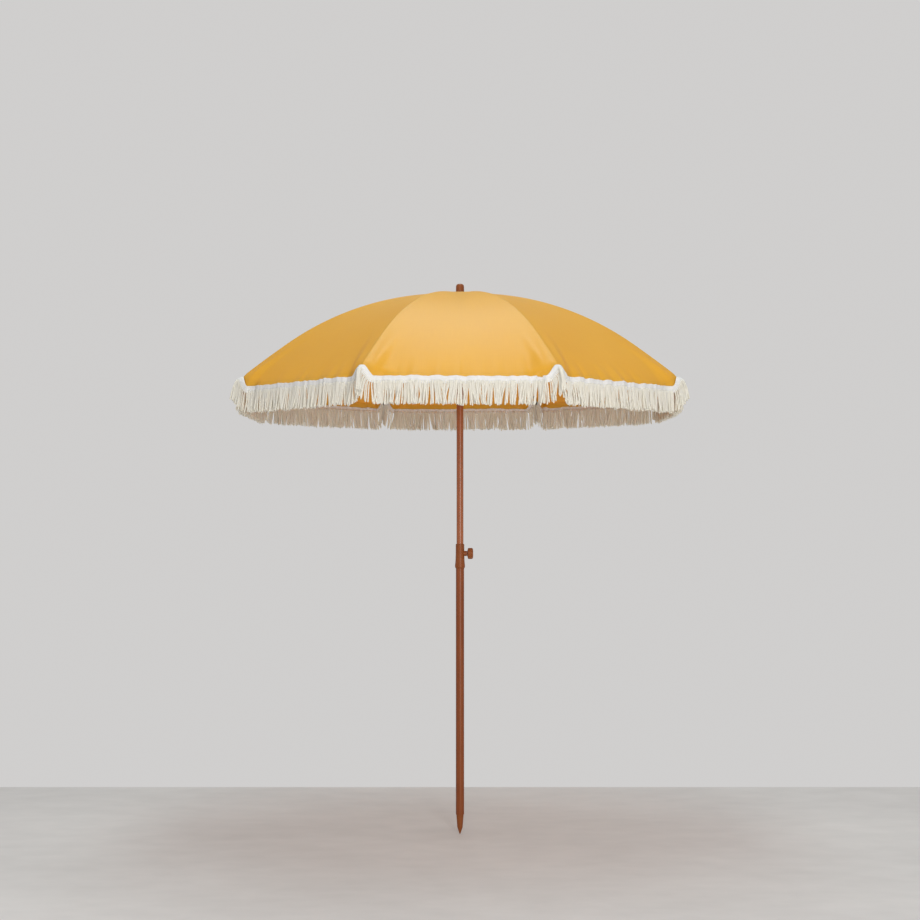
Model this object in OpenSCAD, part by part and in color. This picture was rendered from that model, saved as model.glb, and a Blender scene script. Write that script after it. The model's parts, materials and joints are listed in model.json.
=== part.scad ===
// Beach umbrella with a two-part spiked pole, eight ribs on a sliding runner and a fringed canopy.
// Millimetres, +Z up, origin at the tip of the ground spike on the pole's axis.
// Panels face -Y, +Y, +X and -X, so the ribs stand at 22.5 degrees and every 45 degrees on.

/* [Pole] */
// Outside diameter of the lower tube
lower_od = 30; // [28:0.5:32]
// Outside diameter of the upper tube
upper_od = 25; // [24:0.5:26]
// Wall thickness of both tubes
tube_wall = 1.2; // [1:0.1:1.5]
// Height of the lower tube's top end, inside the clamp collar
lower_top = 1000; // [990:5:1010]
// Height of the upper tube's bottom end
upper_bottom = 550; // [450:10:650]
// Length of the ground spike that shows below the tube
spike_len = 72; // [60:1:90]

/* [Clamp] */
// Height of the clamp collar's bottom ring
collar_bottom = 960; // [950:1:970]
// Height of the clamp collar's top
collar_top = 1048; // [1040:1:1060]
// Outside diameter of the collar's sleeve at its top
collar_od = 31.2; // [31:0.1:33]
// Outside diameter of the collar's widest ring, near its bottom
collar_ring_od = 36.5; // [36:0.5:40]
// Height of the clamp screw's axis
screw_z = 1013.5; // [1012:0.5:1025]
// Outside diameter of the clamp knob
knob_od = 40; // [34:1:44]
// Width of the clamp knob along its axis
knob_w = 22; // [16:1:26]

/* [Canopy] */
// Height of the canopy's top
canopy_top = 1963; // [1961:0.5:1965]
// Radius from the pole's axis to a rib's tip
canopy_r = 808; // [780:2:830]
// Bending radius of the ribs over their inner part
rib_bend_r = 1120; // [1100:10:1150]
// Slope of the ribs where the inner bend ends, in degrees
rib_bend_end = 36; // [33:1:38]
// Bending radius of the ribs over their outer part
rib_outer_r = 4000; // [3000:100:5000]
// How far the hem hangs below the line between two rib tips
hem_drop = 40; // [20:1:45]
// Length of the fringe below the hem
fringe_len = 90; // [70:1:95]
// Thickness of the canopy's solid
cloth_t = 1.5; // [1:0.1:1.6]

/* [Linkage] */
// Length of each stretcher between its pivots, and of the rib from the crown to the stretcher
link_len = 360; // [340:5:370]
// Distance of the crown and runner pivots from the pole's axis
pivot_r = 24; // [23.5:0.5:25]
// Height of the crown's pivots
crown_z = 1954; // [1952:0.5:1955]
// Diameter of the rib rods
rib_d = 4.4; // [4:0.1:4.8]
// Diameter of the stretcher rods
stretcher_d = 4; // [3.6:0.1:4.2]
// Diameter of every pivot pin
pin_d = 3; // [2.8:0.1:3.2]

/* [Hidden] */

$fn = 48;
pole_colour = [0.55, 0.30, 0.17];
cloth_colour = [0.91, 0.70, 0.36];
fringe_colour = [0.93, 0.91, 0.86];
steel_colour = [0.12, 0.12, 0.13];

rib_count = 8;
half_gore = 180 / rib_count;      // angle from a rib to the middle of a panel
gap = 0.05;                       // radial running clearance of a pin or sliding tube
press = 0.02;                     // radial clearance of parts that are pressed or glued together

lower_r = lower_od / 2;
lower_bore_r = lower_r - tube_wall;
lower_seat_r = lower_r - 0.5;     // the tube's end is turned down to seat in the collar
upper_r = upper_od / 2;
upper_bore_r = upper_r - tube_wall;
upper_top = crown_z - 6;          // top end of the upper tube, inside the crown
spike_shoulder_r = 13.4;
spike_plug = 60;                  // how far the spike's plug stands up inside the tube

boss_r = 9.3;
boss_end = 25.5;                  // distance of the boss's face from the pole's axis
screw_r = 4;
nut_r = 6;
nut_in = 17.2;                    // the nut's inner and outer faces
nut_out = 23.2;
knob_in = 26;                     // the knob's inner face

// Rib and canopy profile: two tangent arcs in the vertical plane through the pole's axis.
inner_centre = [0, canopy_top - rib_bend_r];
outer_centre = inner_centre
    - (rib_outer_r - rib_bend_r) * [sin(rib_bend_end), cos(rib_bend_end)];
tip_slope = asin((canopy_r - outer_centre[0]) / rib_outer_r);
cloth_gap = 1.2;                  // air between the cloth and a rib rod
rib_inset = cloth_t + cloth_gap + rib_d / 2;
rib_start_r = 33;                 // distance from the axis where the bent rod begins
rib_start_slope = asin(rib_start_r / (rib_bend_r - rib_inset));
hub_hole_r = 9.5;                 // hole in the middle of the canopy

// A point on the canopy's outer face over a rib, at the slope s, inset along the normal.
function profile(s, inset = 0) = s < rib_bend_end
    ? inner_centre + (rib_bend_r - inset) * [sin(s), cos(s)]
    : outer_centre + (rib_outer_r - inset) * [sin(s), cos(s)];
// The slope of the profile at the fraction v of the way from the hub's hole to the rib's tip.
hub_slope = asin(hub_hole_r / rib_bend_r);
inner_share = 0.8;                // share of the rows on the inner arc, a whole number of rows
function slope_at(v) = v < inner_share
    ? hub_slope + (rib_bend_end - hub_slope) * v / inner_share
    : rib_bend_end + (tip_slope - rib_bend_end) * (v - inner_share) / (1 - inner_share);

// The linkage, as [distance from the axis, height]. The clevis pin hangs below the rib rod, at
// link_len from the crown's pivot and from the runner's pivot, so the runner stays upright.
clevis_drop = 10;
crown_pivot = [pivot_r, crown_z];
joint_ring = rib_bend_r - rib_inset - clevis_drop;
crown_ring = norm(crown_pivot - inner_centre);
crown_angle = atan2(pivot_r, crown_z - inner_centre[1]);
joint_angle = crown_angle
    + acos((crown_ring ^ 2 + joint_ring ^ 2 - link_len ^ 2) / (2 * crown_ring * joint_ring));
joint = inner_centre + joint_ring * [sin(joint_angle), cos(joint_angle)];
link_slope = atan2(crown_z - joint[1], joint[0] - pivot_r);
runner_z = crown_z - 2 * link_len * sin(link_slope);

eye_r = 4;
eye_w = 4;
slot_w = 5;
pin_r = pin_d / 2;
pin_len = 12;
flange_r = 29;
sleeve_r = 16.5;
runner_bottom = runner_z - 40;
crown_top = crown_z + 5.5;
catch_z = runner_bottom - 1;      // top of the spring catch, just under the runner

// Places the children at rib k, with +X pointing outwards along the rib.
module at_rib(k) {
    rotate([0, 0, half_gore + (k - 1) * 2 * half_gore]) children();
}

// A cylinder along Y, centred on the point p = [distance, height].
module cross_pin(p, r, w) {
    translate([p[0], 0, p[1]]) rotate([90, 0, 0]) cylinder(r = r, h = w, center = true);
}

// A bent rod along the rib's profile from slope s1 to s2 around one of the two arc centres.
module bent_rod(centre, bend_r, s1, s2, d) {
    translate([centre[0], 0, centre[1]]) rotate([0, s2 - 90, 0]) rotate([90, 0, 0])
        rotate_extrude(angle = s2 - s1, $fn = 360) translate([bend_r, 0]) circle(d = d, $fn = 24);
}

module ground_spike() {
    color(pole_colour) {
        rotate_extrude() polygon([
            [0, 0], [1.2, 0.4], [2.2, 1.6], [9.9, 24], [11.6, 48], [spike_shoulder_r, spike_len - 3],
            [lower_r, spike_len - 1.5], [lower_r, spike_len], [0, spike_len]]);
        translate([0, 0, spike_len - 1])
            cylinder(r = lower_bore_r - press, h = spike_plug + 1);
    }
}

module lower_pole() {
    color(pole_colour) translate([0, 0, spike_len]) difference() {
        union() {
            cylinder(r = lower_r, h = collar_bottom - spike_len);
            cylinder(r = lower_seat_r, h = lower_top - spike_len);
        }
        translate([0, 0, -1]) cylinder(r = lower_bore_r, h = lower_top - spike_len + 2);
    }
}

module clamp_collar() {
    ring_r = collar_ring_od / 2;
    top_r = collar_od / 2;
    low = collar_bottom;
    color(pole_colour) difference() {
        union() {
            // Sleeve that flares to a wide ring and is bevelled back to the lower tube
            rotate_extrude() polygon([
                [0, low], [ring_r - 2, low], [ring_r, low + 4.5], [ring_r, low + 11],
                [ring_r - 0.7, low + 16], [ring_r - 1.5, low + 24], [ring_r - 2.05, low + 34],
                [top_r + 0.3, low + 46], [top_r, low + 60], [top_r, collar_top - 1.2],
                [top_r - 1, collar_top], [0, collar_top]]);
            translate([0, 0, screw_z]) rotate([0, 90, 0]) cylinder(r = boss_r, h = boss_end);
        }
        translate([0, 0, collar_bottom - 1])
            cylinder(r = lower_seat_r + press, h = lower_top - collar_bottom + 1);
        translate([0, 0, collar_bottom]) cylinder(r = upper_r + gap, h = collar_top);
        translate([0, 0, screw_z]) rotate([0, 90, 0]) {
            cylinder(r = screw_r + gap, h = boss_end + 1);
            translate([0, 0, nut_in]) cylinder(r = nut_r + press, h = nut_out - nut_in);
        }
    }
}

module clamp_nut() {
    color("goldenrod") translate([nut_in, 0, screw_z]) rotate([0, 90, 0]) difference() {
        cylinder(r = nut_r, h = nut_out - nut_in);
        translate([0, 0, -1]) cylinder(r = screw_r + gap, h = nut_out - nut_in + 2);
    }
}

module clamp_screw() {
    tip = upper_r + 0.1;
    color("silver") translate([tip, 0, screw_z]) rotate([0, 90, 0])
        cylinder(r = screw_r, h = knob_in + knob_w - 4 - tip);
}

module clamp_knob() {
    grips = 10;
    color(pole_colour) translate([knob_in, 0, screw_z]) rotate([0, 90, 0]) difference() {
        rotate_extrude() polygon([
            [0, 0], [9.5, 0], [11.5, 1.5], [knob_od / 2 - 2, 2.5], [knob_od / 2, 5],
            [knob_od / 2, knob_w - 4], [knob_od / 2 - 3, knob_w - 1], [knob_od / 2 - 8, knob_w],
            [0, knob_w]]);
        translate([0, 0, -1]) cylinder(r = screw_r + gap, h = knob_w - 2.5);
        for (i = [0:grips - 1]) rotate([0, 0, (i + 0.5) * 360 / grips])
            translate([knob_od / 2 + 2.2, 0, 4]) cylinder(r = 4, h = knob_w);
    }
}

module upper_pole() {
    slot_h = 26;
    color(pole_colour) difference() {
        translate([0, 0, upper_bottom]) cylinder(r = upper_r, h = upper_top - upper_bottom);
        translate([0, 0, upper_bottom - 1])
            cylinder(r = upper_bore_r, h = upper_top - upper_bottom + 2);
        // Slot that the spring catch stands out of
        translate([-2.5, -upper_r - 1, catch_z - slot_h + 1]) cube([5, 6, slot_h]);
    }
}

module pole_bush() {
    bush_h = 40;
    color("dimgray") translate([0, 0, upper_bottom - 3]) difference() {
        cylinder(r = lower_bore_r - gap, h = bush_h);
        translate([0, 0, 3]) cylinder(r = upper_r + press, h = bush_h);
        translate([0, 0, -1]) cylinder(r = 8, h = 5);
    }
}

// A slotted flange around the pole. Each slot takes the eye of one rod, on a pin across it.
module slotted_flange(pivot_z, low, high) {
    difference() {
        translate([0, 0, low]) cylinder(r = flange_r, h = high - low);
        for (k = [1:rib_count]) at_rib(k) {
            translate([pivot_r - eye_r - 1.5, -slot_w / 2, low - 1])
                cube([flange_r, slot_w, high - low + 2]);
            cross_pin([pivot_r, pivot_z], pin_r + press, pin_len);
        }
    }
}

module pivot_pins(pivot_z) {
    color(steel_colour) for (k = [1:rib_count])
        at_rib(k) cross_pin([pivot_r, pivot_z], pin_r, pin_len - 0.4);
}

module crown() {
    sleeve_h = 24;
    color(steel_colour) difference() {
        union() {
            slotted_flange(crown_z, crown_z - 6, crown_top);
            translate([0, 0, crown_z - sleeve_h]) cylinder(r = sleeve_r, h = sleeve_h);
        }
        translate([0, 0, crown_z - sleeve_h - 1]) cylinder(r = upper_r + press, h = sleeve_h + 20);
    }
}

module crown_pins() {
    pivot_pins(crown_z);
}

module finial() {
    cap_bottom = canopy_top + 2;
    color(pole_colour) {
        rotate_extrude() polygon(concat(
            [[0, cap_bottom], [15.4, cap_bottom], [16.5, cap_bottom + 1.2], [16.5, cap_bottom + 5],
             [15.2, cap_bottom + 6.5]],
            [for (a = [0:15:90]) [5.5 + 9.2 * cos(a), 1990.5 + 9.5 * sin(a)]],
            [[0, 2000]]));
        translate([0, 0, crown_top - 30]) cylinder(r = 8.5, h = cap_bottom - crown_top + 31);
        translate([0, 0, crown_top - 50]) cylinder(r = upper_bore_r - 0.3, h = 44);
    }
}

module canopy_washer() {
    color(cloth_colour) translate([0, 0, canopy_top + 0.3]) difference() {
        cylinder(r = 19, h = 1.4);
        translate([0, 0, -1]) cylinder(r = hub_hole_r, h = 4);
    }
}

module runner() {
    skirt_h = 8;
    color(steel_colour) difference() {
        union() {
            slotted_flange(runner_z, runner_z - 6, runner_z + 6);
            translate([0, 0, runner_bottom]) cylinder(r = sleeve_r, h = 50);
            translate([0, 0, runner_bottom]) cylinder(r = sleeve_r + 4, h = skirt_h);
        }
        translate([0, 0, runner_bottom - 1]) cylinder(r = upper_r + gap, h = 60);
    }
}

module runner_pins() {
    pivot_pins(runner_z);
}

// Bent spring-steel catch: it stands out of the slot at its top and runs back inside the tube.
module runner_catch() {
    proud = 4.5;
    catch_h = 22;
    color("silver") translate([2, 0, catch_z]) rotate([0, -90, 0]) linear_extrude(height = 4)
        polygon([[0, -upper_r - proud], [0, -upper_r + 4], [-1.6, -upper_r + 4],
                 [-1.6, -upper_r - proud + 1.6], [-3, -upper_r - proud + 1.6],
                 [-catch_h, -upper_r + 2.4], [-catch_h, -upper_r + 0.9], [-3, -upper_r - proud]]);
}

module rib(k) {
    clevis_len = 15;
    ear_in = 2.4;
    ear_t = 1.7;
    clamp_t = 0.65;
    neck_r = 1.7;
    rod_start = profile(rib_start_slope, rib_inset);
    color(steel_colour) at_rib(k) {
        difference() {
            union() {
                cross_pin(crown_pivot, eye_r, eye_w);
                // Slim neck from the eye into the rod's end
                translate([pivot_r, 0, crown_z])
                    rotate([0, 90 - atan2(rod_start[1] - crown_z, rod_start[0] - pivot_r), 0])
                        translate([0, 0, eye_r - 1.5])
                            cylinder(r = neck_r, h = norm(rod_start - crown_pivot) - eye_r + 4);
            }
            cross_pin(crown_pivot, pin_r + gap, eye_w + 2);
        }
        bent_rod(inner_centre, rib_bend_r - rib_inset, rib_start_slope, rib_bend_end, rib_d);
        bent_rod(outer_centre, rib_outer_r - rib_inset, rib_bend_end, tip_slope, rib_d);
        // Clevis clamped on the rod, with its rivet across the two ears
        translate([joint[0], 0, joint[1]]) rotate([0, joint_angle, 0]) {
            translate([-clevis_len / 2, 0, clevis_drop]) rotate([0, 90, 0])
                cylinder(r = rib_d / 2 + clamp_t, h = clevis_len);
            for (side = [-1, 1]) {
                translate([-4.5, side * (ear_in + ear_t / 2) - ear_t / 2, 0])
                    cube([9, ear_t, clevis_drop]);
                translate([0, side * (ear_in + ear_t / 2), 0]) rotate([90, 0, 0])
                    cylinder(r = 4.5, h = ear_t, center = true);
            }
            rotate([90, 0, 0]) cylinder(r = pin_r, h = 2 * (ear_in + ear_t) + 2, center = true);
        }
    }
}

// Cap pushed over the end of a rib, with a ball at its end that stands out in the fringe's loop.
module rib_tip(k) {
    grip = 14;
    cap_r = 4;
    reach = 38;                   // from the rod's end to the middle of the ball
    tip = profile(tip_slope, rib_inset);
    color(steel_colour) at_rib(k) translate([tip[0], 0, tip[1]]) rotate([0, 90 + tip_slope, 0])
        difference() {
            union() {
                translate([0, 0, -grip]) cylinder(r = rib_d / 2 + 0.65, h = grip + reach);
                translate([0, 0, reach]) sphere(r = cap_r);
            }
            translate([0, 0, -grip - 1]) cylinder(d = rib_d + 2 * gap, h = grip + 1.5);
        }
}

module stretcher(k) {
    color(steel_colour) at_rib(k) translate([pivot_r, 0, runner_z]) rotate([0, -link_slope, 0])
        difference() {
            union() {
                for (x = [0, link_len]) translate([x, 0, 0]) rotate([90, 0, 0])
                    cylinder(r = eye_r, h = eye_w, center = true);
                rotate([0, 90, 0]) translate([0, 0, 2.5]) cylinder(d = stretcher_d, h = link_len - 5);
            }
            for (x = [0, link_len]) translate([x, 0, 0]) rotate([90, 0, 0])
                cylinder(r = pin_r + gap, h = eye_w + 2, center = true);
        }
}

// Canopy cloth around rib k, out to the middle of the panel on each side. t runs from -1 at one
// edge, over the rib at 0, to 1 at the other edge, and v from the hub to the hem.
cols = 14;
rows = 15;
edge_inset = 0.15;                // half of the seam gap between neighbouring sectors
function column_t(c) = let (u = 2 * c / cols - 1) sign(u) * abs(u) ^ 1.9;
// 0 over the rib's tip, where the hem is held up, and 1 where it hangs at its full drop.
function hem_rise(t) = let (u = max(0, min(1, (abs(t) - 0.025) / 0.17))) u * u * (3 - 2 * u);
function cloth_point(t, v, inset) = let (
        s = slope_at(v),
        p = profile(s, inset),
        side = abs(t) * p[0] * sin(half_gore) * cos(half_gore),
        out = p[0] * (1 - abs(t) * sin(half_gore) ^ 2),
        drop = hem_drop * hem_rise(t) * v ^ 12,
        swell = 12 * hem_rise(t) * v ^ 12)
    [out + swell * cos(half_gore * t),
     sign(t) * max(0, side - edge_inset * abs(t)) + swell * sin(half_gore * t), p[1] - drop];

// Closed solid between two grids of points, each listed row by row.
module slab(outer, inner, nc, nr) {
    n = (nc + 1) * (nr + 1);
    function id(layer, r, c) = layer * n + r * (nc + 1) + c;
    polyhedron(concat(outer, inner), concat(
        [for (r = [0:nr - 1], c = [0:nc - 1]) [id(0, r, c), id(0, r + 1, c), id(0, r + 1, c + 1)]],
        [for (r = [0:nr - 1], c = [0:nc - 1]) [id(0, r, c), id(0, r + 1, c + 1), id(0, r, c + 1)]],
        [for (r = [0:nr - 1], c = [0:nc - 1]) [id(1, r, c), id(1, r + 1, c + 1), id(1, r + 1, c)]],
        [for (r = [0:nr - 1], c = [0:nc - 1]) [id(1, r, c), id(1, r, c + 1), id(1, r + 1, c + 1)]],
        [for (r = [0:nr - 1]) [id(0, r, 0), id(1, r, 0), id(1, r + 1, 0)]],
        [for (r = [0:nr - 1]) [id(0, r, 0), id(1, r + 1, 0), id(0, r + 1, 0)]],
        [for (r = [0:nr - 1]) [id(0, r, nc), id(1, r + 1, nc), id(1, r, nc)]],
        [for (r = [0:nr - 1]) [id(0, r, nc), id(0, r + 1, nc), id(1, r + 1, nc)]],
        [for (c = [0:nc - 1]) [id(0, 0, c), id(0, 0, c + 1), id(1, 0, c + 1)]],
        [for (c = [0:nc - 1]) [id(0, 0, c), id(1, 0, c + 1), id(1, 0, c)]],
        [for (c = [0:nc - 1]) [id(0, nr, c), id(1, nr, c), id(1, nr, c + 1)]],
        [for (c = [0:nc - 1]) [id(0, nr, c), id(1, nr, c + 1), id(0, nr, c + 1)]]));
}

module canopy(k) {
    color(cloth_colour) at_rib(k) slab(
        [for (r = [0:rows], c = [0:cols]) cloth_point(column_t(c), r / rows, 0)],
        [for (r = [0:rows], c = [0:cols]) cloth_point(column_t(c), r / rows, cloth_t)],
        cols, rows);
}

// Fringe sewn outside the hem. It hangs straight down, and loops out around each rib's tip.
module fringe(k) {
    fringe_t = 8;
    clear = 1.2;
    tip_loop = 40;
    levels = 2;
    function shifted(c, r, out) = let (
            t = column_t(c),
            hem = cloth_point(t, 1, 0),
            a = half_gore * t,
            reach = out + tip_loop * (1 - hem_rise(t)))
        [hem[0] + reach * cos(a), hem[1] + reach * sin(a), hem[2] - fringe_len * r / levels];
    color(fringe_colour) at_rib(k) slab(
        [for (r = [0:levels], c = [0:cols]) shifted(c, r, clear + fringe_t)],
        [for (r = [0:levels], c = [0:cols]) shifted(c, r, clear)],
        cols, levels);
}

ground_spike();
lower_pole();
clamp_collar();
clamp_nut();
clamp_screw();
clamp_knob();
upper_pole();
pole_bush();
crown();
crown_pins();
finial();
canopy_washer();
runner();
runner_pins();
runner_catch();
for (k = [1:rib_count]) {
    rib(k);
    rib_tip(k);
    stretcher(k);
    canopy(k);
    fringe(k);
}
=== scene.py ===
import json
import math

import bpy
import numpy as np
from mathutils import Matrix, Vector, noise


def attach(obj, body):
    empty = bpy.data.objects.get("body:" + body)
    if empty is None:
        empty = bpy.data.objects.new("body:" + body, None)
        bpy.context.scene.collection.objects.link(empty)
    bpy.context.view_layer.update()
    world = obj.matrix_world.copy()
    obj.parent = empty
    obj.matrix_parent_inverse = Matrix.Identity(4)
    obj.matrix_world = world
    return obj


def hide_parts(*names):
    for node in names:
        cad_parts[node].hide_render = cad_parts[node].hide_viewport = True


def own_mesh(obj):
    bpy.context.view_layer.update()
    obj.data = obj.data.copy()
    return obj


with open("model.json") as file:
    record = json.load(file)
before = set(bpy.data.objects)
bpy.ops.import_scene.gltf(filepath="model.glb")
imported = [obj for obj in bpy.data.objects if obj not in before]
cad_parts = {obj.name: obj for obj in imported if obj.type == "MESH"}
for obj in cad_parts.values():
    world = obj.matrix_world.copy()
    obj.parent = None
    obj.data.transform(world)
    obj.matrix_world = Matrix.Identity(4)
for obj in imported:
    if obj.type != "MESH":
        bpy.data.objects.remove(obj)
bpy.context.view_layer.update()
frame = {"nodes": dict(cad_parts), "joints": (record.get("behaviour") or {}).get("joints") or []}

MM = 0.001
RIBS = 8
HALF_GORE = math.pi / RIBS

JOINTS = {j["name"]: j for j in frame["joints"]}
CROWN_PIVOT_Z = JOINTS["fold"]["pos_m"][2]
PIVOT_R = math.hypot(*JOINTS["fold"]["pos_m"][:2])
FOLD_LIMIT = math.radians(JOINTS["fold"]["range_deg"][1])

# The rib profile of the CAD model: two tangent arcs in the plane through the pole.
CANOPY_TOP = 1.963
TIP_R = 0.808
BEND_R = 1.120
BEND_END = math.radians(36)
OUTER_R = 4.0
HUB_HOLE_R = 0.0095
HEM_DROP = 0.041
FRINGE_LEN = 0.091
KEEP = 0.33                 # share of a sector's width that is left when the ribs are folded
SEAM_HALF = 0.0045          # half of the felled seam over a rib
SEAM_RISE = 0.0008
CLOTH_THICK = 0.0007
HOOD_REACH = 0.007          # how far the cloth goes past a rib's tip, and dips over it
HOOD_DIP = 0.005
BELLY = 0.007               # sag of a panel between its ribs
HEM_SWELL = 0.012           # how far the hem stands out at mid-panel, and beside a rib's tip
CORNER_SWELL = 0.006
CORNER_CURL = 0.013         # how far the cloth turns in beside a rib's tip
GATHER = 0.0058             # height of the puckers along the hem, coarse and fine
FINE_GATHER = 0.0030


# ---------------------------------------------------------------- materials

def new_material(name):
    mat = bpy.data.materials.new(name)
    mat.use_nodes = True
    mat.node_tree.nodes.clear()
    return mat


def add(mat, kind, settings=None, **inputs):
    """Adds a node. inputs are values, or other nodes' sockets to link; spaces in names are _."""
    n = mat.node_tree.nodes.new(kind)
    for key, value in (settings or {}).items():
        setattr(n, key, value)
    for key, value in inputs.items():
        socket = n.inputs[int(key[1:])] if key[0] == "i" and key[1:].isdigit() else (
            n.inputs[key.replace("_", " ")])
        if isinstance(value, bpy.types.NodeSocket):
            mat.node_tree.links.new(value, socket)
        else:
            socket.default_value = value
    return n


def ramp(mat, factor, stops):
    n = add(mat, "ShaderNodeValToRGB", Fac=factor)
    while len(n.color_ramp.elements) < len(stops):
        n.color_ramp.elements.new(0.5)
    for e, (at, colour) in zip(n.color_ramp.elements, stops):
        e.position = at
        e.color = (*colour, 1)
    return n.outputs["Color"]


def finish_material(mat, shader):
    out = add(mat, "ShaderNodeOutputMaterial")
    mat.node_tree.links.new(shader, out.inputs["Surface"])
    return mat


def wave_scale(period, diagonal=False):
    """Scale of a wave texture whose bands are period apart, in metres."""
    return math.tau / ((10 if diagonal else 20) * period)


def math_node(mat, operation, a, b=0.0):
    return add(mat, "ShaderNodeMath", {"operation": operation}, i0=a, i1=b).outputs[0]


def cloth_material(name, warm, lit, glow, mix):
    """Plain-woven polyester: fine weave bump, slubs, and light through the cloth."""
    mat = new_material(name)
    uv = add(mat, "ShaderNodeUVMap", {"uv_map": "cloth"}).outputs["UV"]
    coords = add(mat, "ShaderNodeTexCoord").outputs["Object"]
    warp, weft = (
        add(mat, "ShaderNodeTexWave", {"bands_direction": way}, Vector=uv,
            Scale=wave_scale(0.9 * MM), Distortion=0.4).outputs["Fac"] for way in "XY")
    weave = math_node(mat, "MULTIPLY", warp, weft)
    stretch = add(mat, "ShaderNodeMapping", Vector=uv, Scale=(240, 14, 1)).outputs["Vector"]
    slub = add(mat, "ShaderNodeTexNoise", Vector=stretch, Scale=1.0, Detail=3.0).outputs["Fac"]
    stretch = add(mat, "ShaderNodeMapping", Vector=uv, Scale=(14, 240, 1)).outputs["Vector"]
    slub_2 = add(mat, "ShaderNodeTexNoise", Vector=stretch, Scale=1.0, Detail=3.0).outputs["Fac"]
    cloud = add(mat, "ShaderNodeTexNoise", Vector=coords, Scale=5.0, Detail=3.0).outputs["Fac"]
    tone = math_node(mat, "ADD", math_node(mat, "MULTIPLY", slub, 0.35),
                     math_node(mat, "MULTIPLY", slub_2, 0.3))
    tone = math_node(mat, "ADD", tone, math_node(mat, "MULTIPLY", cloud, 0.35))
    colour = ramp(mat, tone, [(0.3, warm), (0.7, lit)])
    height = math_node(mat, "ADD", math_node(mat, "MULTIPLY", weave, 0.6),
                       math_node(mat, "MULTIPLY", tone, 1.2))
    bump = add(mat, "ShaderNodeBump", Height=height, Strength=0.25, Distance=0.0004).outputs[0]
    rough = add(mat, "ShaderNodeMapRange", Value=tone, To_Min=0.38, To_Max=0.5).outputs[0]
    skin = add(mat, "ShaderNodeBsdfPrincipled", Base_Color=colour, Roughness=rough, Normal=bump,
               Specular_IOR_Level=0.42)
    through = add(mat, "ShaderNodeBsdfTranslucent", Color=(*glow, 1), Normal=bump)
    both = add(mat, "ShaderNodeMixShader", Fac=mix, i1=skin.outputs[0], i2=through.outputs[0])
    return finish_material(mat, both.outputs[0])


def cord_material():
    """Twisted off-white cotton: diagonal plies with painted shade in their grooves, fuzz, and a tone
    for each cord that is random, with the inner layer painted darker as painted shade.
    """
    mat = new_material("fringe_cotton")
    uv = add(mat, "ShaderNodeUVMap", {"uv_map": "cloth"}).outputs["UV"]
    ply = add(mat, "ShaderNodeTexWave", {"bands_direction": "DIAGONAL"}, Vector=uv,
              Scale=wave_scale(3.4 * MM, True), Distortion=0.6).outputs["Fac"]
    coords = add(mat, "ShaderNodeTexCoord").outputs["Object"]
    fuzz = add(mat, "ShaderNodeTexNoise", Vector=coords, Scale=900.0, Detail=2.0).outputs["Fac"]
    own = add(mat, "ShaderNodeAttribute", {"attribute_name": "tone"}).outputs["Fac"]
    # Each cord's tone is random, with the inner layer painted darker as painted shade; the ply bands,
    # raised in the bump, are lighter, which paints shade into the grooves between the plies.
    tone = math_node(mat, "ADD", math_node(mat, "MULTIPLY", own, 0.6),
                     math_node(mat, "MULTIPLY", ply, 0.25))
    tone = math_node(mat, "ADD", tone, math_node(mat, "MULTIPLY", fuzz, 0.15))
    colour = ramp(mat, tone, [(0.0, (0.84, 0.81, 0.72)), (0.45, (0.92, 0.905, 0.85)),
                              (1.0, (0.96, 0.95, 0.91))])
    height = math_node(mat, "ADD", ply, math_node(mat, "MULTIPLY", fuzz, 0.4))
    bump = add(mat, "ShaderNodeBump", Height=height, Strength=0.6, Distance=0.0006).outputs[0]
    skin = add(mat, "ShaderNodeBsdfPrincipled", Base_Color=colour, Roughness=0.85, Normal=bump)
    skin.inputs["Sheen Weight"].default_value = 0.2
    skin.inputs["Sheen Roughness"].default_value = 0.5
    skin.inputs["Specular IOR Level"].default_value = 0.2
    through = add(mat, "ShaderNodeBsdfTranslucent", Color=(0.97, 0.91, 0.70, 1), Normal=bump)
    both = add(mat, "ShaderNodeMixShader", Fac=0.36, i1=skin.outputs[0], i2=through.outputs[0])
    return finish_material(mat, both.outputs[0])


def header_material():
    """Dense woven heading of the fringe: upright cords packed side by side, with painted shade in the
    grooves between them, and painted darker overall than the hanging cords as painted shade.
    """
    mat = new_material("fringe_heading_painted_shade")
    uv = add(mat, "ShaderNodeUVMap", {"uv_map": "cloth"}).outputs["UV"]
    cords = add(mat, "ShaderNodeTexWave", {"bands_direction": "X"}, Vector=uv,
                Scale=wave_scale(2.6 * MM), Distortion=0.8, Detail=2.0).outputs["Fac"]
    picks = add(mat, "ShaderNodeTexWave", {"bands_direction": "Y"}, Vector=uv,
                Scale=wave_scale(1.8 * MM), Distortion=1.2).outputs["Fac"]
    coords = add(mat, "ShaderNodeTexCoord").outputs["Object"]
    cloud = add(mat, "ShaderNodeTexNoise", Vector=coords, Scale=60.0, Detail=3.0).outputs["Fac"]
    # The heading's cord ridges, raised in the bump, are lighter and the grooves between them darker:
    # painted shade in the grooves.
    tone = math_node(mat, "ADD", math_node(mat, "MULTIPLY", cords, 0.3),
                     math_node(mat, "MULTIPLY", cloud, 0.7))
    # These colours are darker than the hanging cords' cotton: painted shade that evens out the extra
    # light the heading's upturned face catches.
    colour = ramp(mat, tone, [(0.15, (0.62, 0.61, 0.59)), (0.75, (0.73, 0.725, 0.715))])
    height = math_node(mat, "ADD", cords, math_node(mat, "MULTIPLY", picks, 0.5))
    bump = add(mat, "ShaderNodeBump", Height=height, Strength=0.5, Distance=0.0006).outputs[0]
    skin = add(mat, "ShaderNodeBsdfPrincipled", Base_Color=colour, Roughness=0.85, Normal=bump)
    skin.inputs["Specular IOR Level"].default_value = 0.2
    return finish_material(mat, skin.outputs[0])


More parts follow.
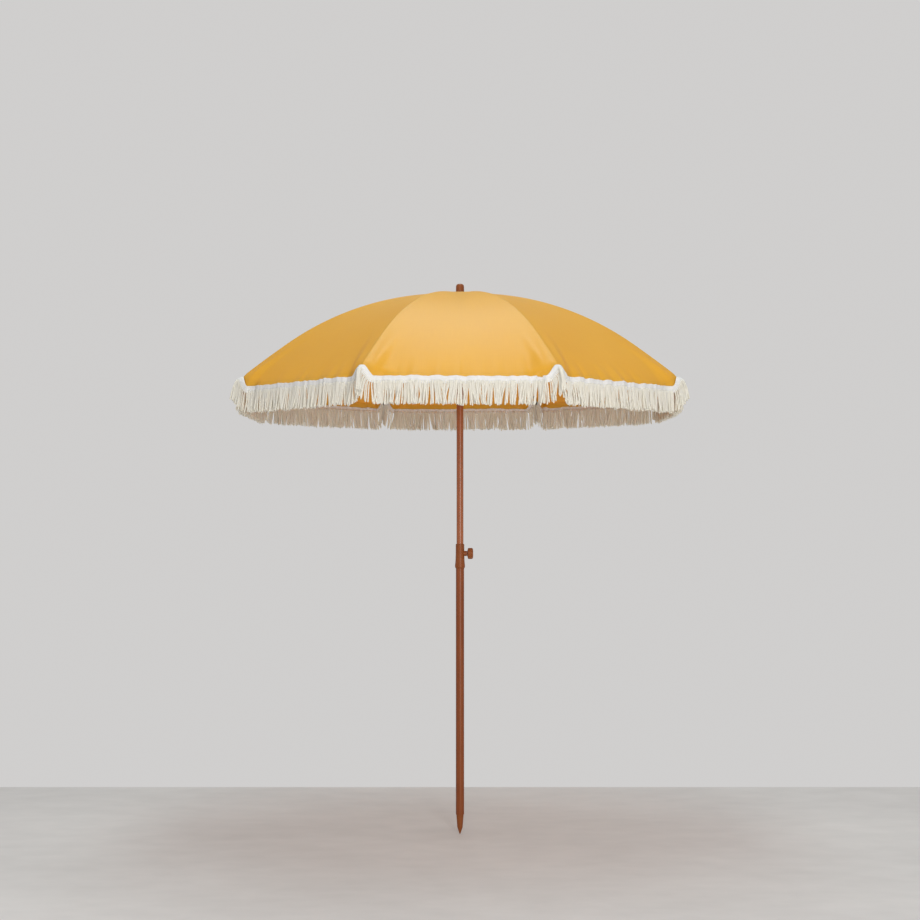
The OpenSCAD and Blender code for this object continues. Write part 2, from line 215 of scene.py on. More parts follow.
def pole_material(name, dark, mid, light, rough, streak, gloss):
    """Brown coating on the pole, with faint long streaks like stained wood, and small scuffs."""
    mat = new_material(name)
    coords = add(mat, "ShaderNodeTexCoord").outputs["Object"]
    along = add(mat, "ShaderNodeMapping", Vector=coords, Scale=(90, 90, 2.2)).outputs["Vector"]
    grain = add(mat, "ShaderNodeTexNoise", Vector=along, Scale=1.0, Detail=5.0,
                Roughness=0.6, Distortion=0.6).outputs["Fac"]
    fine = add(mat, "ShaderNodeMapping", Vector=coords, Scale=(500, 500, 14)).outputs["Vector"]
    pores = add(mat, "ShaderNodeTexNoise", Vector=fine, Scale=1.0, Detail=2.0).outputs["Fac"]
    cloud = add(mat, "ShaderNodeTexNoise", Vector=coords, Scale=9.0, Detail=2.0).outputs["Fac"]
    tone = math_node(mat, "ADD", math_node(mat, "MULTIPLY", grain, streak),
                     math_node(mat, "MULTIPLY", pores, 0.3))
    tone = math_node(mat, "ADD", tone, math_node(mat, "MULTIPLY", cloud, 0.7 - streak))
    colour = ramp(mat, tone, [(0.3, dark), (0.5, mid), (0.72, light)])
    scuff = add(mat, "ShaderNodeTexNoise", Vector=coords, Scale=220.0, Detail=4.0).outputs["Fac"]
    level = add(mat, "ShaderNodeMapRange", Value=scuff, From_Min=0.3, From_Max=0.7,
                To_Min=rough - 0.06, To_Max=rough + 0.08).outputs[0]
    height = math_node(mat, "ADD", math_node(mat, "MULTIPLY", pores, 0.6),
                       math_node(mat, "MULTIPLY", scuff, 0.3))
    bump = add(mat, "ShaderNodeBump", Height=height, Strength=0.2, Distance=0.0003).outputs[0]
    skin = add(mat, "ShaderNodeBsdfPrincipled", Base_Color=colour, Roughness=level, Normal=bump)
    skin.inputs["Specular IOR Level"].default_value = gloss
    return finish_material(mat, skin.outputs[0])


def plastic_material(name, dark, light, rough):
    """Moulded plastic: fine spark-eroded grain and slow changes of tone."""
    mat = new_material(name)
    coords = add(mat, "ShaderNodeTexCoord").outputs["Object"]
    grain = add(mat, "ShaderNodeTexNoise", Vector=coords, Scale=1400.0, Detail=2.0).outputs["Fac"]
    cloud = add(mat, "ShaderNodeTexNoise", Vector=coords, Scale=45.0, Detail=3.0).outputs["Fac"]
    colour = ramp(mat, cloud, [(0.3, dark), (0.7, light)])
    level = add(mat, "ShaderNodeMapRange", Value=cloud, To_Min=rough - 0.08,
                To_Max=rough + 0.08).outputs[0]
    bump = add(mat, "ShaderNodeBump", Height=grain, Strength=0.15, Distance=0.0002).outputs[0]
    skin = add(mat, "ShaderNodeBsdfPrincipled", Base_Color=colour, Roughness=level, Normal=bump)
    return finish_material(mat, skin.outputs[0])


def metal_material(name, dark, light, rough, metallic):
    """Drawn or turned metal: fine lines, dull patches, and a trace of wear."""
    mat = new_material(name)
    coords = add(mat, "ShaderNodeTexCoord").outputs["Object"]
    lines = add(mat, "ShaderNodeMapping", Vector=coords, Scale=(60, 60, 1600)).outputs["Vector"]
    drawn = add(mat, "ShaderNodeTexNoise", Vector=lines, Scale=1.0, Detail=2.0).outputs["Fac"]
    cloud = add(mat, "ShaderNodeTexNoise", Vector=coords, Scale=70.0, Detail=4.0).outputs["Fac"]
    colour = ramp(mat, cloud, [(0.3, dark), (0.7, light)])
    level = add(mat, "ShaderNodeMapRange", Value=drawn, To_Min=rough - 0.08,
                To_Max=rough + 0.12).outputs[0]
    bump = add(mat, "ShaderNodeBump", Height=drawn, Strength=0.12, Distance=0.0002).outputs[0]
    skin = add(mat, "ShaderNodeBsdfPrincipled", Base_Color=colour, Roughness=level, Normal=bump,
               Metallic=metallic)
    return finish_material(mat, skin.outputs[0])


CLOTH = cloth_material("canopy_cloth", (0.755, 0.442, 0.030), (0.82, 0.507, 0.044),
                       (1.0, 0.52, 0.20), 0.38)
CORD = cord_material()
HEADING_CLOTH_PAINTED_SHADE = header_material()
POLE = pole_material("pole_coating", (0.14, 0.032, 0.007), (0.205, 0.052, 0.013),
                     (0.27, 0.076, 0.022), 0.36, 0.45, 0.24)
# The upper pole's colours are painted lighter than the lower pole's: painted light standing in for the
# warm glow it gets under the canopy. Its lower roughness and stronger gloss are its shinier finish.
UPPER_POLE_PAINTED_LIGHT = pole_material("upper_pole_coating_painted_light", (0.22, 0.060, 0.018), (0.30, 0.092, 0.032),
                           (0.37, 0.125, 0.045), 0.28, 0.35, 0.4)
BROWN_PLASTIC = pole_material("brown_plastic", (0.16, 0.042, 0.008), (0.215, 0.060, 0.013),
                              (0.265, 0.080, 0.020), 0.42, 0.15, 0.24)
BLACK_PLASTIC = plastic_material("black_plastic", (0.012, 0.011, 0.010), (0.03, 0.028, 0.026), 0.42)
RIB_STEEL = metal_material("rib_coating", (0.018, 0.016, 0.015), (0.05, 0.046, 0.042), 0.38, 0.4)
PIN_STEEL = metal_material("zinc_plate", (0.42, 0.42, 0.41), (0.62, 0.62, 0.6), 0.34, 1.0)
BRASS = metal_material("brass", (0.45, 0.30, 0.10), (0.66, 0.47, 0.19), 0.32, 1.0)
THREAD = plastic_material("thread", (0.72, 0.42, 0.10), (0.86, 0.58, 0.22), 0.6)


# ---------------------------------------------------------------- mesh helpers

def piece_from(name, verts, faces, materials, uv=None, smooth=True, slots=None, tone=None):
    """A mesh piece from arrays. uv is per vertex, slots gives each face's material."""
    mesh = bpy.data.meshes.new(name)
    mesh.from_pydata([tuple(v) for v in verts], [], [tuple(f) for f in faces])
    for mat in materials if isinstance(materials, (list, tuple)) else [materials]:
        mesh.materials.append(mat)
    if uv is not None:
        layer = mesh.uv_layers.new(name="cloth")
        index = np.zeros(len(mesh.loops), np.int64)
        mesh.loops.foreach_get("vertex_index", index)
        layer.data.foreach_set("uv", np.asarray(uv, np.float32)[index].ravel())
    if tone is not None:
        mesh.attributes.new("tone", "FLOAT", "POINT").data.foreach_set(
            "value", np.asarray(tone, np.float32))
    if slots is not None:
        mesh.polygons.foreach_set("material_index", np.asarray(slots, np.int32))
    mesh.polygons.foreach_set("use_smooth", np.full(len(mesh.polygons), smooth))
    mesh.validate()
    mesh.update()
    obj = bpy.data.objects.new(name, mesh)
    bpy.context.collection.objects.link(obj)
    return obj


def grid_faces(rows, cols, base=0):
    """Quads of a grid whose points are listed row by row."""
    r, c = np.mgrid[0:rows - 1, 0:cols - 1]
    a = base + (r * cols + c).ravel()
    return np.stack([a, a + 1, a + cols + 1, a + cols], axis=1)


def ring_quads(rings, sides):
    """Quads of a tube whose points are listed ring by ring."""
    r, c = np.mgrid[0:rings - 1, 0:sides]
    after = (c + 1) % sides
    return np.stack([r * sides + c, (r + 1) * sides + c, (r + 1) * sides + after,
                     r * sides + after], -1).reshape(-1, 4)


def mark_sharp(piece, pairs):
    """Makes the edges between pairs of vertices sharp, so that shading doesn't blend over them."""
    ends = np.zeros(2 * len(piece.data.edges), np.int64)
    piece.data.edges.foreach_get("vertices", ends)
    count = len(piece.data.vertices)
    ends, pairs = (np.sort(np.asarray(e).reshape(-1, 2), 1) for e in (ends, pairs))
    sharp = np.isin(ends[:, 0] * count + ends[:, 1], pairs[:, 0] * count + pairs[:, 1])
    piece.data.edges.foreach_set("use_edge_sharp", sharp)


def thick_sheet(name, points, uv, material, thickness):
    """A grid of points as a closed sheet: its other face, and a flat rim that keeps the edge of
    the smooth faces from shading differently than the middle."""
    rows, cols = points.shape[:2]
    normal = np.cross(np.gradient(points, axis=1), np.gradient(points, axis=0))
    normal /= np.maximum(np.linalg.norm(normal, axis=-1, keepdims=True), 1e-12)
    if normal[rows // 2, cols // 2, 2] < 0:
        normal = -normal
    quads = grid_faces(rows, cols)
    ids = np.arange(rows * cols).reshape(rows, cols)
    loop = np.concatenate([ids[0], ids[1:, -1], ids[-1, -2::-1], ids[-2:0:-1, 0]])
    after = np.roll(loop, -1)
    n = rows * cols
    rim = np.stack([loop, loop + n, after + n, after], 1)
    a, b, c = (points.reshape(-1, 3)[quads[len(quads) // 2, i]] for i in range(3))
    up = np.cross(b - a, c - a) @ normal[rows // 2, cols // 2] > 0
    faces = np.concatenate([quads if up else quads[:, ::-1],
                            (quads[:, ::-1] if up else quads) + n, rim if up else rim[:, ::-1]])
    verts = np.concatenate([points.reshape(-1, 3), (points - normal * thickness).reshape(-1, 3)])
    piece = piece_from(name, verts, faces, material, np.concatenate([uv.reshape(-1, 2)] * 2))
    piece.data.polygons.foreach_set("use_smooth", np.arange(len(faces)) < 2 * len(quads))
    border = np.stack([loop, after], 1)
    mark_sharp(piece, np.concatenate([border, border + n]))
    return piece


def smoothstep(x):
    x = np.clip(x, 0, 1)
    return x * x * (3 - 2 * x)


def rib_azimuth(k):
    return HALF_GORE + (k - 1) * 2 * HALF_GORE


def turned(points, azimuth):
    """Points turned about the pole, from a rib's own frame to the row frame."""
    c, s = math.cos(azimuth), math.sin(azimuth)
    p = np.asarray(points, float)
    return np.stack([c * p[..., 0] - s * p[..., 1], s * p[..., 0] + c * p[..., 1], p[..., 2]], -1)


# ---------------------------------------------------------------- canopy shape

INNER_CENTRE = np.array([0.0, CANOPY_TOP - BEND_R])
OUTER_CENTRE = INNER_CENTRE - (OUTER_R - BEND_R) * np.array([math.sin(BEND_END), math.cos(BEND_END)])
TIP_SLOPE = math.asin((TIP_R - OUTER_CENTRE[0]) / OUTER_R)
HUB_SLOPE = math.asin(HUB_HOLE_R / BEND_R)
INNER_ARC = BEND_R * (BEND_END - HUB_SLOPE)
RIB_ARC = INNER_ARC + OUTER_R * (TIP_SLOPE - BEND_END)
CHORD_SIN, CHORD_COS = math.sin(HALF_GORE), math.cos(HALF_GORE)


def profile(along):
    """[radius, height] over a rib and its slope, at a distance along the arc from the hub."""
    along = np.asarray(along, float)
    inner = along < INNER_ARC
    slope = np.where(inner, HUB_SLOPE + along / BEND_R, BEND_END + (along - INNER_ARC) / OUTER_R)
    bend = np.where(inner, BEND_R, OUTER_R)
    centre = np.where(inner[..., None], INNER_CENTRE, OUTER_CENTRE)
    return centre + bend[..., None] * np.stack([np.sin(slope), np.cos(slope)], -1), slope


def cloth_points(along, share):
    """Cloth around a rib, in the rib's frame. share is 0 on the rib and 1 or -1 at mid-panel."""
    v = np.clip(np.asarray(along) / RIB_ARC, 0, 1.02)
    across = np.abs(share)
    chord = across * profile(along)[0][..., 0] * CHORD_SIN * CHORD_COS
    hood = np.exp(-(chord / 0.026) ** 2) * v ** 20
    p, slope = profile(along + HOOD_REACH * hood)
    side = across * p[..., 0] * CHORD_SIN * CHORD_COS
    out = p[..., 0] * (1 - across * CHORD_SIN ** 2)
    rise = smoothstep((side - 0.006) / 0.029)
    corner = np.exp(-((side - 0.030) / 0.018) ** 2)
    dip = HOOD_DIP * hood * smoothstep((v - 0.975) / 0.03)
    drop = HEM_DROP * rise * v ** (11 + 16 * corner) + dip
    belly = BELLY * np.sin(np.pi * np.clip(v, 0, 1) ** 1.6) * (1 - (1 - across) ** 2)
    beside = np.exp(-((side - 0.052) / 0.028) ** 2)
    curl = CORNER_CURL * beside * np.clip((v - 0.972) / 0.028, 0, 1) ** 2
    bulge = CORNER_SWELL * corner * smoothstep((v - 0.88) / 0.09)
    swell = HEM_SWELL * rise * v ** 11 + bulge - curl
    way = np.sign(share) * HALF_GORE
    x = out + (swell - belly * np.sin(slope)) * np.cos(way)
    y = np.sign(share) * side + (swell - belly * np.sin(slope)) * np.sin(way)
    return np.stack([x, y, p[..., 1] - drop - belly * np.cos(slope)], -1)


def wrinkle(points, v):
    """Small folds of the cloth: slow waves, and gathers that grow towards the hem."""
    flat = points.reshape(-1, 3)
    share = np.broadcast_to(v, points.shape[:-1]).ravel()
    lift = np.empty(len(flat))
    for i, (q, s) in enumerate(zip(flat, share)):
        edge = min(max((s - 0.9) / 0.1, 0), 1)
        r = math.hypot(q[0], q[1]) + 1e-9
        c, d = q[0] / r, q[1] / r
        slow = noise.noise(Vector(q) * 5.0) * 0.0024 * s
        gather = noise.noise(Vector((c * 26, d * 26, s * 2.0))) * GATHER * edge ** 1.5
        fine = noise.noise(Vector((c * 60, d * 60, s * 4.0))) * FINE_GATHER * edge ** 2.5
        lift[i] = slow + gather + fine
    return lift.reshape(points.shape[:-1])


def canopy_surface(k, along, share, inset=0.0):
    """Finished cloth surface in the row frame, with its normals: the shape, its folds and its seam."""
    base = cloth_points(along, share)
    step, slide = 2e-3, 1e-3
    across = cloth_points(along, share + step) - cloth_points(along, share - step)
    down = cloth_points(along + slide, share) - cloth_points(along - slide, share)
    normal = np.cross(across, down)
    normal /= np.maximum(np.linalg.norm(normal, axis=-1, keepdims=True), 1e-12)
    normal = np.where(normal[..., 2:] < 0, -normal, normal)
    world, normal = turned(base, rib_azimuth(k)), turned(normal, rib_azimuth(k))
    side = np.abs(base[..., 1])
    seam = np.exp(-(side / SEAM_HALF) ** 4) * SEAM_RISE * np.clip(along / 0.06, 0, 1)
    lift = wrinkle(world, along / RIB_ARC) * (1 - 0.85 * np.exp(-(side / 0.03) ** 2)) + seam
    return world + normal * (lift - inset)[..., None], normal, base


def panel_uv(base, along, share):
    """Cloth coordinates: across the panel from its middle, and along it from the hub."""
    way = np.where(share < 0, -HALF_GORE, HALF_GORE)
    return np.stack([base[..., 1] * np.cos(way) - base[..., 0] * np.sin(way),
                     np.broadcast_to(along, base.shape[:-1])], -1)


def canopy_sector(k):
    """Cloth that goes with rib k, out to the middle of the panels on both sides of it."""
    half = np.linspace(0, 1, 33) ** 1.5
    share = np.concatenate([-half[:0:-1], half])
    rows = np.concatenate([np.linspace(0, 0.86, 42), np.linspace(0.87, 1, 24)]) * RIB_ARC
    along, across = np.meshgrid(rows, share, indexing="ij")
    points, _, base = canopy_surface(k, along, across)
    # the hem: the cloth turns under its own edge and runs back up inside
    turn_at = np.array([RIB_ARC + 0.0012, RIB_ARC + 0.001, RIB_ARC - 0.003, RIB_ARC - 0.009,
                        RIB_ARC - 0.015])
    turn_in = np.array([0.0004, 0.0014, 0.0018, 0.0018, 0.0018])
    under, _, under_base = canopy_surface(k, *np.meshgrid(turn_at, share, indexing="ij"),
                                          inset=turn_in[:, None])
    points = np.concatenate([points, under])
    uv = np.concatenate([panel_uv(base, along, across),
                         panel_uv(under_base, (RIB_ARC * 2 - turn_at)[:, None], share)])
    return thick_sheet(f"canopy_cloth_{k}", points, uv, CLOTH, CLOTH_THICK)


def pleat_reach(along):
    """How far past mid-panel the inner pleat goes, to meet the next rib's when folded."""
    p, _ = profile(along)
    c, s, t = math.cos(FOLD_LIMIT), math.sin(FOLD_LIMIT), math.tan(HALF_GORE)
    radius = PIVOT_R + (p[..., 0] - PIVOT_R) * c + (p[..., 1] - CROWN_PIVOT_Z) * s
    return t * radius / (p[..., 0] * (KEEP * CHORD_SIN * CHORD_COS + t * c * CHORD_SIN ** 2))


def canopy_pleats(k):
    """Inner flaps beside rib k that close the gap between two sectors when they fold."""
    rows = np.linspace(0.02, 0.50, 28)
    reach = np.clip(pleat_reach(rows), 1.0, 1.9)
    verts, faces, uv = [], [], []
    for side in (-1, 1):
        along, u = np.meshgrid(rows, np.linspace(0, 1, 9), indexing="ij")
        across = side * (0.92 + u * (reach[:, None] - 0.92))
        points, _, base = canopy_surface(k, along, across, inset=0.0014 + 0.0006 * (side > 0))
        faces.append(grid_faces(len(rows), 9, 9 * len(rows) * len(verts)))
        verts.append(points.reshape(-1, 3))
        uv.append(panel_uv(base, along, across).reshape(-1, 2))
    return piece_from(f"canopy_pleat_{k}", np.concatenate(verts), np.concatenate(faces), CLOTH,
                      np.concatenate(uv))


def stitches(name, starts, ways, normals, length=0.0026, width=0.0005):
    """A run of short raised stitches as flat eight-faced lozenges."""
    across = np.cross(normals, ways)
    middle = starts + ways * length / 2
    corners = np.stack([starts, middle + across * width, starts + ways * length,
                        middle - across * width, middle + normals * 0.0004,
                        middle - normals * 0.0003], 1)
    fan = np.array([[0, 1, 4], [1, 2, 4], [2, 3, 4], [3, 0, 4],
                    [1, 0, 5], [2, 1, 5], [3, 2, 5], [0, 3, 5]])
    faces = (fan[None] + 6 * np.arange(len(starts))[:, None, None]).reshape(-1, 3)
    return piece_from(name, corners.reshape(-1, 3), faces, THREAD)


def canopy_stitching(k):
    """Two rows beside the seam over rib k and one row above the hem."""
    pitch = 0.0042
    runs = []
    seam = np.arange(0.035, RIB_ARC - 0.02, pitch)
    for side in (-1, 1):
        share = side * 0.0032 / (profile(seam)[0][..., 0] * CHORD_SIN * CHORD_COS)
        runs.append((seam, share))
    edge = TIP_R * CHORD_SIN * CHORD_COS
    along_hem = np.arange(-edge + 0.002, edge - 0.002, pitch) / edge
    runs.append((np.full(len(along_hem), RIB_ARC - 0.0115), along_hem))
    starts, ways, normals = [], [], []
    for along, share in runs:
        points, normal, _ = canopy_surface(k, along, share, inset=-0.0001)
        way = np.gradient(points, axis=0)
        starts.append(points)
        ways.append(way / np.linalg.norm(way, axis=-1, keepdims=True))
        normals.append(normal)
    return stitches(f"canopy_stitching_{k}", *map(np.concatenate, (starts, ways, normals)))


# ---------------------------------------------------------------- fringe

HEADING = 0.024             # height of the woven heading that the cords hang from
CORD_R = 0.0024
CORD_PITCH = 0.0045
CORD_START = 0.62           # where on the heading's height the cords begin
CORD_LAY = 0.011            # length over which a cord's two plies turn half round
CORD_RINGS = 15
CORD_SIDES = 6
RIPPLE_PITCH = 0.0052       # spacing of the heading's ribs


def heading_path(k, side):
    """Top edge of the heading over half a sector, from the rib's tip to mid-panel: points,
    outward directions and the way the heading hangs from them, all in the row frame."""
    edge = TIP_R * CHORD_SIN * CHORD_COS
    across = np.concatenate([np.linspace(0, 0.05, 26)[:-1], np.linspace(0.05, edge, 84)])
    top = canopy_surface(k, np.full(len(across), RIB_ARC - 0.002), side * across / edge)[0]
    azimuth = rib_azimuth(k)
    turn = azimuth + side * HALF_GORE * smoothstep(across / 0.12)
    out = np.stack([np.cos(turn), np.sin(turn), 0 * turn], -1)
    loop = 1 - smoothstep(across / 0.046)
    top = top + out * (0.0030 + 0.002 * loop[:, None]) + np.array([0, 0, 0.003]) * loop[:, None]
    way = np.gradient(top, axis=0)
    way /= np.linalg.norm(way, axis=-1, keepdims=True)
    down = np.cross(out, way) * side
    down = np.where(down[:, 2:] > 0, -down, down)
    hang = 0.7 * down + np.array([0, 0, -0.3])
    hang /= np.linalg.norm(hang, axis=-1, keepdims=True)
    return top, out, hang, across, azimuth, loop


def heading_points(path, depth):
    """Points of the heading at a depth below its top edge, kept on their own side of the rib.
    Around the rib's tip it stands out like a ruffle before it hangs."""
    top, out, hang, across, azimuth, loop = path
    full = depth / HEADING
    points = top + hang * (depth * (1 - 0.5 * loop * (1 - 0.6 * full)))[:, None] + out * (
        0.021 * loop * (1 - (1 - full) ** 1.5))[:, None]
    radial = np.array([math.cos(azimuth), math.sin(azimuth), 0])
    tangent = np.array([-radial[1], radial[0], 0])
    off = points @ tangent
    side = np.sign(off[-1])
    slit = np.interp(depth, [0, 0.008, 0.02, HEADING], [0, 0.0, 0.0022, 0.0030])
    kept = side * np.maximum(side * off, slit * np.clip(across / 0.004, 0, 1))
    return points + tangent * (kept - off)[:, None]


def heading_band(path, run, side):
    """The heading as a closed band, thin at its top edge and fuller where the cords leave it:
    its points, faces and cloth coordinates, and the size of its grid."""
    share = np.array([0, 0.04, 0.12, 0.3, 0.5, 0.7, 0.85, 0.95, 1.0])
    half = np.array([0.3, 0.9, 1.15, 1.2, 1.3, 1.5, 1.5, 1.2, 0.4]) * MM
    ripple = 1 + 0.16 * np.sin(run / RIPPLE_PITCH * math.tau)[:, None] * share ** 2
    rows = np.stack([heading_points(path, s * HEADING) for s in share], 1)
    fullness = path[1][:, None] * (half * ripple)[..., None]
    ring = np.concatenate([rows + fullness, (rows - fullness)[:, ::-1]], 1)
    n, m = ring.shape[:2]
    quads = ring_quads(n, m)
    caps = np.array([np.arange(m), np.arange(m)[::-1] + (n - 1) * m])
    if side < 0:
        quads, caps = quads[:, ::-1], caps[:, ::-1]
    depth = np.concatenate([share, share[::-1] + 1.1]) * HEADING
    uv = np.stack([np.repeat(run, m), np.tile(depth, n)], -1)
    return ring.reshape(-1, 3), [*map(tuple, quads), *map(tuple, caps)], uv, (n, m)


def cord_lines(rng, path, run, k, side):
    """Middle lines of the cords in two layers, each cord with its own lean, length and bend.
    Also their stations, lengths and layers, and the directions along and out of the heading."""
    count = int(run[-1] / CORD_PITCH)
    at = (np.arange(count * 2) / 2 + 0.5 + rng.uniform(-0.22, 0.22, count * 2)) * run[-1] / count
    at = np.clip(at, 0.001, run[-1] - 0.0005)
    layer = np.where(np.arange(count * 2) % 2 == 0, 1.0, -1.0)
    start, knot, facing = (
        np.stack([np.interp(at, run, a[:, i]) for i in range(3)], -1) for a in (
            heading_points(path, HEADING * CORD_START), heading_points(path, HEADING), path[1]))
    facing /= np.linalg.norm(facing, axis=-1, keepdims=True)
    first = knot - start
    first /= np.linalg.norm(first, axis=-1, keepdims=True)
    tangent = np.cross([0, 0, 1.0], facing)
    start = start + facing * (layer * 0.0012 + rng.normal(0, 0.0003, len(at)))[:, None]
    near_tip = np.exp(-at / 0.04)
    clump = np.array([noise.noise(Vector((x / 0.0105, k * 7.3 + side, 0.5))) for x in at])
    slow = np.array([noise.noise(Vector((x / 0.031, k * 3.1 + side, 9.5))) for x in at])
    lean = 0.30 * clump + 0.10 * slow + rng.normal(0, 0.055, len(at))
    flare = 0.03 + layer * 0.035 + rng.normal(0, 0.05, len(at)) + 0.10 * near_tip
    goal = np.array([0, 0, -1.0]) + tangent * lean[:, None] + facing * flare[:, None]
    goal /= np.linalg.norm(goal, axis=-1, keepdims=True)
    length = (FRINGE_LEN - HEADING * CORD_START) * (1 + rng.normal(0, 0.028, len(at)))
    curl = rng.normal(0, 0.10, (len(at), 2))
    s = np.concatenate([np.linspace(0, 1, CORD_RINGS - 2) * 0.965, [0.988, 1.0]])
    line = np.empty((len(at), CORD_RINGS, 3))
    line[:, 0] = start
    for i in range(1, CORD_RINGS):
        mid = (s[i] + s[i - 1]) / 2
        mix = smoothstep((mid * FRINGE_LEN - 0.006) / (0.018 + 0.034 * near_tip[:, None]))
        swing = np.sin(mid * 3.4 + curl[:, :1] * 20) * curl * 0.9 * mid
        way = first * (1 - mix) + goal * mix
        way = way + tangent * swing[:, :1] + facing * swing[:, 1:]
        way /= np.linalg.norm(way, axis=-1, keepdims=True)
        line[:, i] = line[:, i - 1] + way * ((s[i] - s[i - 1]) * length)[:, None]
    return line, s, length, layer, tangent, facing


def cord_tubes(rng, line, s, length, tangent, facing):
    """Two-ply tubes around the middle lines of the cords, and their cloth coordinates."""
    radius = CORD_R * (1 + rng.normal(0, 0.05, len(line)))[:, None] * np.interp(
        s, [0, 0.1, 0.25, 0.93, 0.965, 0.988, 1], [0.75, 0.95, 1, 1.06, 0.95, 0.66, 0.2])
    lay = s * length[:, None] / CORD_LAY * math.pi
    turn = rng.uniform(0, math.pi, len(line))[:, None] + lay
    angle = np.arange(CORD_SIDES) * math.tau / CORD_SIDES
    plied = radius[..., None] * (1 + 0.17 * np.cos(2 * (angle - turn[..., None])))
    circle = (tangent[:, None, None] * np.cos(angle)[:, None]
              + facing[:, None, None] * np.sin(angle)[:, None])
    cords = line[:, :, None] + plied[..., None] * circle
    u = np.broadcast_to(angle * CORD_R, cords.shape[:3])
    w = np.broadcast_to((s * length[:, None])[..., None], cords.shape[:3])
    return cords.reshape(-1, 3), np.stack([u, w], -1).reshape(-1, 2)


def fringe_half(k, side):
    """Heading and hanging cords on one side of rib k."""
    rng = np.random.default_rng(1000 + 10 * k + side)
    path = heading_path(k, side)
    run = np.concatenate([[0], np.cumsum(np.linalg.norm(np.diff(path[0], axis=0), axis=1))])
    band, faces, band_uv, (n, m) = heading_band(path, run, side)
    line, s, length, layer, tangent, facing = cord_lines(rng, path, run, k, side)
    cords, cord_uv = cord_tubes(rng, line, s, length, tangent, facing)
    per = CORD_RINGS * CORD_SIDES
    first = len(band) + per * np.arange(len(line))[:, None]
    quads = (ring_quads(CORD_RINGS, CORD_SIDES)[None] + first[..., None]).reshape(-1, 4)
    around = np.arange(CORD_SIDES)
    slots = [0] * len(faces) + [1] * (len(quads) + 2 * len(line))
    faces += [*map(tuple, quads), *map(tuple, first + around),
              *map(tuple, first + per - 1 - around)]
    # Each cord's tone varies at random, and the inner layer is painted darker than the outer one as
    # painted shade, since it hangs behind it.
    own = np.clip(0.62 + rng.normal(0, 0.16, len(line)) + 0.08 * layer, 0, 1)
    tone = np.concatenate([np.full(len(band), 0.6), np.repeat(own, per)])
    piece = piece_from(f"fringe_{k}_{'left' if side > 0 else 'right'}",
                       np.concatenate([band, cords]), faces, [HEADING_CLOTH_PAINTED_SHADE, CORD],
                       np.concatenate([band_uv, cord_uv]), slots=slots, tone=tone)
    end = np.stack([np.arange(m), (np.arange(m) + 1) % m], 1)
    mark_sharp(piece, np.concatenate([end, end + (n - 1) * m]))
    return piece


# ---------------------------------------------------------------- hub cap

def hub_cap():
    """Gathered ring of cloth around the foot of the finial."""
    turns, rings = 192, 15
    t = np.linspace(0, 1, rings)
    a = np.arange(turns) * math.tau / turns
    rad = np.interp(t, [0, 0.12, 0.3, 0.55, 0.8, 1], [12.5, 15.5, 18.5, 23, 29, 34]) * MM
    surface_z = INNER_CENTRE[1] + np.sqrt(BEND_R ** 2 - rad ** 2)
    rise = np.interp(t, [0, 0.12, 0.3, 0.55, 0.8, 1], [0.9, 1.6, 4.2, 3.4, 1.8, 0.5]) * MM
    pleat = np.array([[noise.noise(Vector((math.cos(x) * 5.5, math.sin(x) * 5.5, 2.0 + y)))
                       + 0.5 * math.cos(16 * x) for x in a] for y in t])
    size = np.interp(t, [0, 0.12, 0.4, 0.8, 1], [0.2, 0.6, 2.1, 1.5, 0.15])[:, None] * MM
    z = surface_z[:, None] + rise[:, None] + pleat * size
    r = rad[:, None] + pleat * size * 0.6
    points = np.stack([r * np.cos(a), r * np.sin(a), z], -1)
    uv = np.stack([r * a, np.broadcast_to(t[:, None] * 0.03, r.shape)], -1)
    piece = piece_from("hub_cap", points.reshape(-1, 3), ring_quads(rings, turns), CLOTH,
                       uv.reshape(-1, 2))
    thick = piece.modifiers.new("thickness", "SOLIDIFY")
    thick.thickness = 0.0006
    thick.offset = -1
    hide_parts("canopy_washer")
    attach(piece, "upper_pole")


# ---------------------------------------------------------------- pieces on the frame

def repaint(node, material):
    materials = frame["nodes"][node].data.materials
    materials.clear()
    materials.append(material)


FINISHES = {
    "ground_spike": BROWN_PLASTIC, "lower_pole": POLE, "clamp_collar": BROWN_PLASTIC,
    "clamp_nut": BRASS, "clamp_screw": PIN_STEEL, "clamp_knob": BROWN_PLASTIC,
    "upper_pole": UPPER_POLE_PAINTED_LIGHT, "pole_bush": BLACK_PLASTIC, "crown": BLACK_PLASTIC,
    "crown_pins": PIN_STEEL, "finial": BROWN_PLASTIC, "runner": BLACK_PLASTIC,
    "runner_pins": PIN_STEEL, "runner_catch": PIN_STEEL}
for k in range(1, RIBS + 1):
    FINISHES |= {f"rib_{k}": RIB_STEEL, f"rib_tip_{k}": BLACK_PLASTIC, f"stretcher_{k}": RIB_STEEL}
for node, material in FINISHES.items():
    repaint(node, material)

for k in range(1, RIBS + 1):
    cloth = canopy_sector(k)
    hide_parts(f"canopy_{k}")
    soft = [canopy_pleats(k), canopy_stitching(k)]
    for piece in (cloth, *soft):
        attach(piece, f"rib_{k}")
        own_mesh(piece)
    for side in (-1, 1):
        piece = fringe_half(k, side)
        if side > 0:
            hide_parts(f"fringe_{k}")
        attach(piece, f"fringe_{k}")
        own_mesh(piece)
        soft.append(piece)
hub_cap()


# ---------------------------------------------------------------- camera, floor and light

CAMERA_Y, CAMERA_Z, LENS, CAMERA_PITCH = -5.62, 1.163, 60.26, 91.95
bpy.context.scene.view_settings.view_transform = "Standard"
camera = bpy.data.objects.new("camera", bpy.data.cameras.new("camera"))
camera.data.lens, camera.data.sensor_width = LENS, 36
camera.data.clip_end = 60
camera.location = (0, CAMERA_Y, CAMERA_Z)
camera.rotation_euler = (math.radians(CAMERA_PITCH), 0, 0)
bpy.context.collection.objects.link(camera)
bpy.context.scene.camera = camera


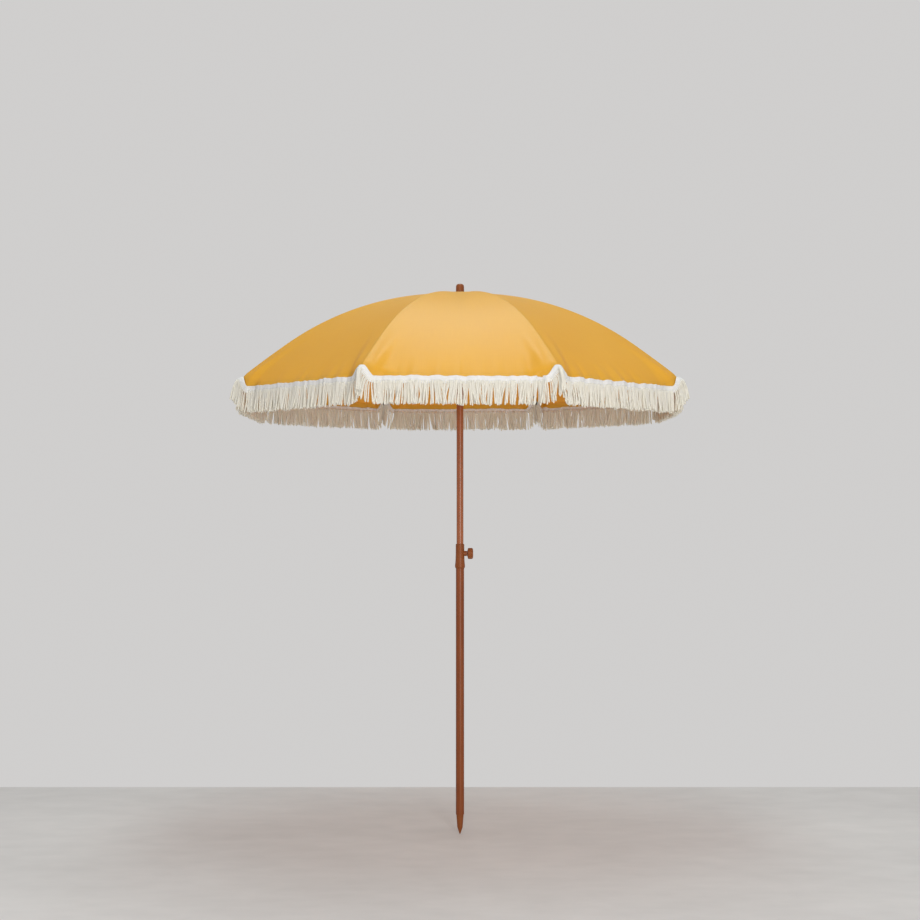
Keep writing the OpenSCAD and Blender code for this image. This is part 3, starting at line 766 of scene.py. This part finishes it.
def area_light(name, place, target, size, watts, colour):
    light = bpy.data.lights.new(name, "AREA")
    light.shape, light.energy, light.color = "RECTANGLE", watts, colour
    light.size, light.size_y = size
    obj = bpy.data.objects.new(name, light)
    obj.location = place
    obj.rotation_euler = (Vector(target) - Vector(place)).to_track_quat("-Z", "Y").to_euler()
    bpy.context.collection.objects.link(obj)


area_light("key", (0.3, -5.6, 2.9), (0, 0, 1.4), (2.2, 1.6), 56, (1, 0.985, 0.975))
area_light("low_fill", (1.0, -4.9, 1.05), (0, 0, 1.4), (0.9, 1.2), 82, (1, 0.985, 0.97))
area_light("overhead", (0, 0.1, 4.3), (0, 0.09, 1.8), (0.7, 2.8), 44, (0.76, 0.97, 1.0))

world = bpy.data.worlds.new("studio")
world.use_nodes = True
background = world.node_tree.nodes["Background"]
background.inputs["Color"].default_value = (1.0, 0.985, 0.975, 1)
background.inputs["Strength"].default_value = 0.63
bpy.context.scene.world = world

floor_material = new_material("floor")
spot = add(floor_material, "ShaderNodeTexCoord").outputs["Object"]
patches = add(floor_material, "ShaderNodeTexNoise", Vector=spot, Scale=3.4, Detail=7.0,
              Roughness=0.62).outputs["Fac"]
grit = add(floor_material, "ShaderNodeTexNoise", Vector=spot, Scale=60.0, Detail=4.0).outputs["Fac"]
blend_tone = math_node(floor_material, "ADD", math_node(floor_material, "MULTIPLY", patches, 0.8),
                       math_node(floor_material, "MULTIPLY", grit, 0.2))
floor_colour = ramp(floor_material, blend_tone, [(0.3, (0.54, 0.517, 0.505)),
                                                 (0.7, (0.72, 0.690, 0.675))])
floor_skin = add(floor_material, "ShaderNodeBsdfPrincipled", Base_Color=floor_colour, Roughness=0.7)
finish_material(floor_material, floor_skin.outputs[0])
FLOOR_BACK, FLOOR_FRONT, FLOOR_WIDTH, FLOOR_DROP = 0.95, -4.15, 9.0, 0.0005
bpy.ops.mesh.primitive_plane_add(
    size=1, location=(0, (FLOOR_BACK + FLOOR_FRONT) / 2, -FLOOR_DROP))
floor = bpy.context.object
floor.name = "floor"
floor.scale = (FLOOR_WIDTH, FLOOR_BACK - FLOOR_FRONT, 1)
floor.data.materials.append(floor_material)
